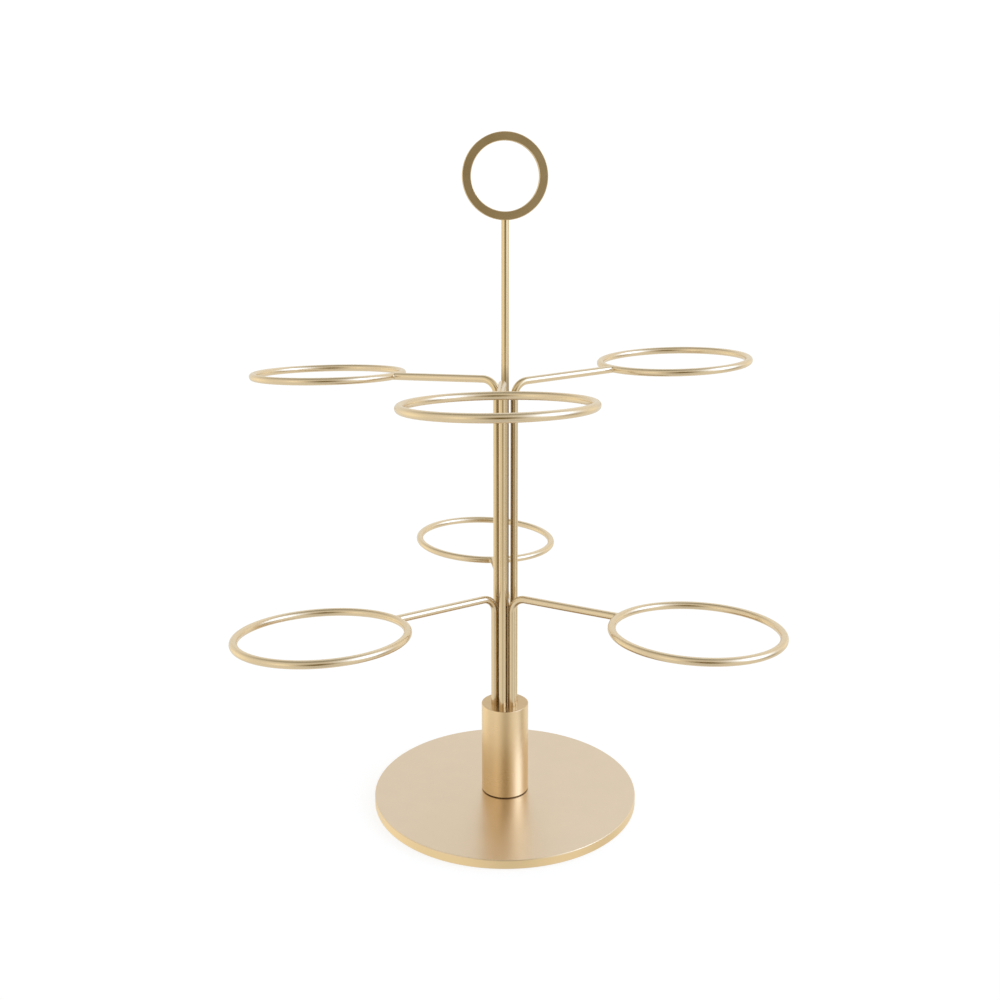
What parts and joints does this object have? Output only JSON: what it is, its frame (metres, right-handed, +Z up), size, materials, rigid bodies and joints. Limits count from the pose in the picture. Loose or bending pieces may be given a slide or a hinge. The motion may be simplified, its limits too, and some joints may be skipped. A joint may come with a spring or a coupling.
{
  "type": "tiered cake stand",
  "caption": "Tiered stand with a round base, a short solid collar, swivelling arms that end in rings on two levels, and an upright carrying ring on a middle rod.",
  "frame": {"origin": "middle of the underside of the pad that the stand rests on, on the axis of the base plate, collar and handle rod", "axes": "+Z up along the handle rod; -Y is the front, where the upper front arm points at rest; +X is to the right seen from the front"},
  "size_m": [0.3525, 0.381, 0.45],
  "materials": {
    "plate_gold": "pale gold coated steel, very fine satin, slightly mirroring",
    "collar_gold": "gold coated steel, fine satin turned finish",
    "rod_gold": "gold coated steel, fine lengthwise satin",
    "handle_gold": "gold coated steel, flat ground satin",
    "pad_rubber": "matt, fine grained",
    "screw_steel": "plain zinc plated"
  },
  "bodies": {
    "stand": {"base_plate": "plate_gold", "base_pad": "pad_rubber", "base_screw": "screw_steel", "collar": "collar_gold", "handle_rod": "rod_gold", "handle_ring": "handle_gold"},
    "upper_right": {"upper_right_arm": "rod_gold", "upper_right_ring": "rod_gold"},
    "lower_back": {"lower_back_arm": "rod_gold", "lower_back_ring": "rod_gold"},
    "upper_left": {"upper_left_arm": "rod_gold", "upper_left_ring": "rod_gold"},
    "lower_left": {"lower_left_arm": "rod_gold", "lower_left_ring": "rod_gold"},
    "upper_front": {"upper_front_arm": "rod_gold", "upper_front_ring": "rod_gold"},
    "lower_right": {"lower_right_arm": "rod_gold", "lower_right_ring": "rod_gold"}
  },
  "joints": [
    {"name": "upper_right_swivel", "type": "hinge", "parent": "stand", "child": "upper_right", "pos_m": [0.006, 0.00361, 0.03], "axis": [0, 0, 1], "range_deg": [-25, 25]},
    {"name": "lower_back_swivel", "type": "hinge", "parent": "stand", "child": "lower_back", "pos_m": [0.00134, 0.00687, 0.03], "axis": [0, 0, 1], "range_deg": [-25, 25]},
    {"name": "upper_left_swivel", "type": "hinge", "parent": "stand", "child": "upper_left", "pos_m": [-0.00544, 0.00441, 0.03], "axis": [0, 0, 1], "range_deg": [-25, 25]},
    {"name": "lower_left_swivel", "type": "hinge", "parent": "stand", "child": "lower_left", "pos_m": [-0.00685, -0.00145, 0.03], "axis": [0, 0, 1], "range_deg": [-25, 25]},
    {"name": "upper_front_swivel", "type": "hinge", "parent": "stand", "child": "upper_front", "pos_m": [-0.00145, -0.00685, 0.03], "axis": [0, 0, 1], "range_deg": [-25, 25]},
    {"name": "lower_right_swivel", "type": "hinge", "parent": "stand", "child": "lower_right", "pos_m": [0.00486, -0.00504, 0.03], "axis": [0, 0, 1], "range_deg": [-25, 25]}
  ]
}
